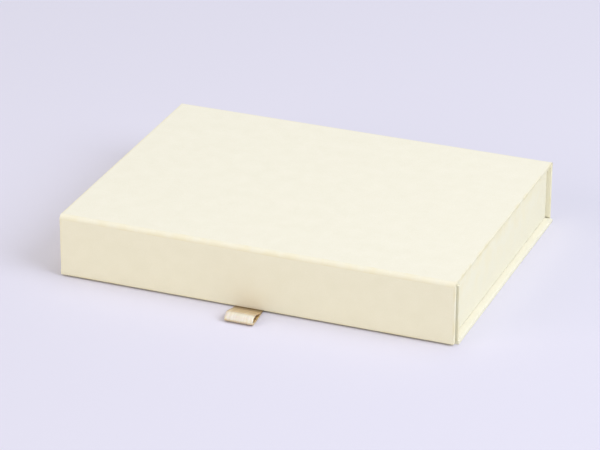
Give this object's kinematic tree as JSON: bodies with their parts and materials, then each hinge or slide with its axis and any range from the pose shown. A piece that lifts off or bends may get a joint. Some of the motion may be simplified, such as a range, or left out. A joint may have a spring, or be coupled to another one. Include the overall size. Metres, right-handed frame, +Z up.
{
  "type": "rigid gift box",
  "caption": "Low rectangular paper-wrapped rigid gift box with a book-style hinged lid, a magnetic front flap and a ribbon pull.",
  "frame": {"origin": "on the table, under the middle of the closed case, measured from the flap's face to the spine's face and without the ribbon", "axes": "+X along the box to the right as seen from the flap, -Y out of the flap, +Z up"},
  "size_m": [0.226, 0.182, 0.036],
  "materials": {
    "cream_paper": "uncoated matte wrapping paper with a fine fibre grain",
    "lining_paper": "smooth uncoated lining paper",
    "greyboard": "bare recycled board",
    "kraft_tape": "gummed paper tape",
    "adhesive": "dried glue",
    "magnet": "nickel-plated disc",
    "satin_ribbon": "satin"
  },
  "bodies": {
    "case_and_tray": {"base_board": "greyboard", "base_wrap": "cream_paper", "spine_board": "greyboard", "spine_wrap": "cream_paper", "spine_lining": "lining_paper", "base_fold_paper": "cream_paper", "tray_glue": "adhesive", "front_wall_board": "greyboard", "front_wall_wrap": "cream_paper", "front_wall_magnets": "magnet", "tray_floor_board": "greyboard", "tray_front_board": "greyboard", "tray_back_board": "greyboard", "tray_left_board": "greyboard", "tray_right_board": "greyboard", "corner_stays": "kraft_tape", "tray_wrap": "cream_paper", "tray_floor_lining": "lining_paper"},
    "lid": {"lid_board": "greyboard", "lid_wrap": "cream_paper", "lid_lining": "lining_paper", "lid_fold_paper": "cream_paper"},
    "flap": {"flap_board": "greyboard", "flap_wrap": "cream_paper", "flap_lining": "lining_paper", "flap_fold_paper": "cream_paper", "flap_magnets": "magnet", "pull_ribbon": "satin_ribbon"}
  },
  "joints": [
    {"name": "lid_hinge", "type": "hinge", "parent": "case_and_tray", "child": "lid", "pos_m": [0, 0.08224, 0.03524], "axis": [-1, 0, 0], "range_deg": [0, 180], "deforming": ["lid_fold_paper"]},
    {"name": "flap_hinge", "type": "hinge", "parent": "lid", "child": "flap", "pos_m": [0, -0.08224, 0.03524], "axis": [-1, 0, 0], "range_deg": [0, 180], "deforming": ["flap_fold_paper"]}
  ]
}
